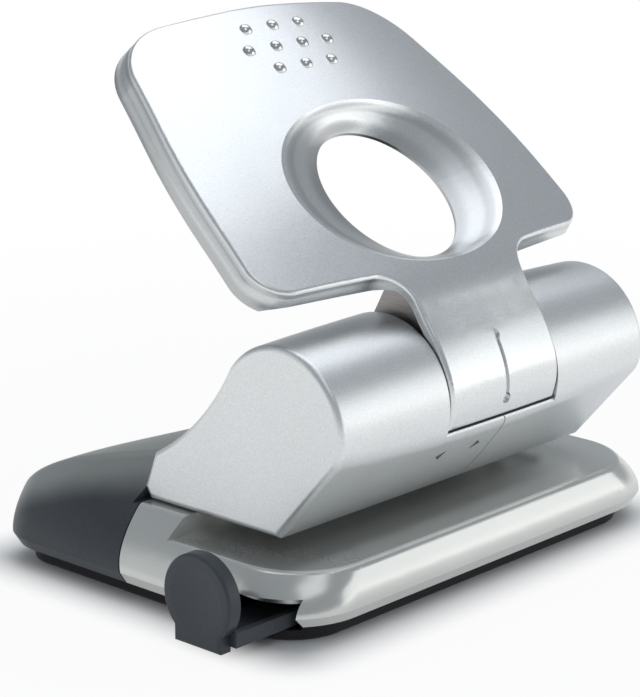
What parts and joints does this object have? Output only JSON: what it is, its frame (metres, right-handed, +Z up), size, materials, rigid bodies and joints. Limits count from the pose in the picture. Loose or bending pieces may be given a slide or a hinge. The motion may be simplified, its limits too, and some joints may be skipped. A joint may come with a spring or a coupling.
{
  "type": "hole punch",
  "caption": "Desk hole punch with a broad plate lever on a barrel housing, paper mouth, chip tray and a pull-out paper guide.",
  "frame": {"origin": "on the ground under the middle of the lever's axle", "axes": "+X along the axle to the right seen from the paper side, +Y from the paper side to the tail, +Z up"},
  "size_m": [0.1494, 0.1034, 0.1284],
  "materials": {
    "polished_cover": "bright metallised silver, mirror-like",
    "tail_plastic": "matt anthracite",
    "tray_plastic": "near black, soft",
    "zinc_steel": "zinc plated sheet",
    "screw_steel": "bright zinc",
    "barrel_silver": "satin silver with a fine metallic grain",
    "lever_silver": "satin silver with a fine metallic grain",
    "arm_steel": "plain sheet",
    "hub_plastic": "black, matt",
    "stud_chrome": "polished domes",
    "axle_steel": "ground rod",
    "cam_steel": "hardened, oiled",
    "pin_steel": "ground and hardened",
    "spring_steel": "spring wire",
    "block_plastic": "black guide plastic",
    "die_steel": "sintered steel",
    "guide_plastic": "matt anthracite"
  },
  "bodies": {
    "base": {"base_cover": "polished_cover", "rear_cover": "tail_plastic", "base_plate": "zinc_steel", "base_screw_1": "screw_steel", "base_screw_2": "screw_steel", "base_screw_3": "screw_steel", "base_screw_4": "screw_steel", "guide_strap_1": "zinc_steel", "guide_strap_2": "zinc_steel", "housing_right": "barrel_silver", "stripper_rail": "zinc_steel", "axle": "axle_steel", "bracket_left": "zinc_steel", "bracket_right": "zinc_steel", "die_block_left": "die_steel", "die_block_right": "die_steel", "guide_block_left": "block_plastic", "guide_block_right": "block_plastic", "axle_clip_left": "screw_steel", "axle_clip_right": "screw_steel", "pin_spring_left": "spring_steel", "pin_spring_right": "spring_steel"},
    "lock_shell": {"housing_left": "barrel_silver"},
    "lever": {"lever_plate": "lever_silver", "lever_hub": "hub_plastic", "lever_web_left": "arm_steel", "lever_web_right": "arm_steel", "cam_left": "cam_steel", "cam_right": "cam_steel", "grip_stud_01": "stud_chrome", "grip_stud_02": "stud_chrome", "grip_stud_03": "stud_chrome", "grip_stud_04": "stud_chrome", "grip_stud_05": "stud_chrome", "grip_stud_06": "stud_chrome", "grip_stud_07": "stud_chrome", "grip_stud_08": "stud_chrome", "grip_stud_09": "stud_chrome", "grip_stud_10": "stud_chrome"},
    "pin_left": {"punch_pin_left": "pin_steel"},
    "pin_right": {"punch_pin_right": "pin_steel"},
    "guide": {"paper_guide": "guide_plastic"},
    "tray": {"chip_tray": "tray_plastic"}
  },
  "joints": [
    {"name": "lever_swing", "type": "hinge", "parent": "base", "child": "lever", "pos_m": [0, 0, 0.0462], "axis": [-1, 0, 0], "range_deg": [0, 32], "stiffness_Nm_per_rad": 0.35, "springref_deg": -68.75},
    {"name": "pin_left_stroke", "type": "slide", "parent": "base", "child": "pin_left", "axis": [0, 0, -1], "range_m": [0, 0.0085], "deforming": ["pin_spring_left"]},
    {"name": "pin_right_stroke", "type": "slide", "parent": "base", "child": "pin_right", "axis": [0, 0, -1], "range_m": [0, 0.0085], "deforming": ["pin_spring_right"]},
    {"name": "lock_slide", "type": "slide", "parent": "base", "child": "lock_shell", "axis": [-1, 0, 0], "range_m": [0, 0.004]},
    {"name": "guide_slide", "type": "slide", "parent": "base", "child": "guide", "axis": [-1, 0, 0], "range_m": [-0.004, 0.085]},
    {"name": "tray_pull", "type": "slide", "parent": "base", "child": "tray", "axis": [0, 0, -1], "range_m": [0, 0.014]}
  ],
  "couplings": [
    {"joint": "pin_left_stroke", "follows": "lever_swing", "m_per_rad": 0.015},
    {"joint": "pin_right_stroke", "follows": "lever_swing", "m_per_rad": 0.015}
  ]
}
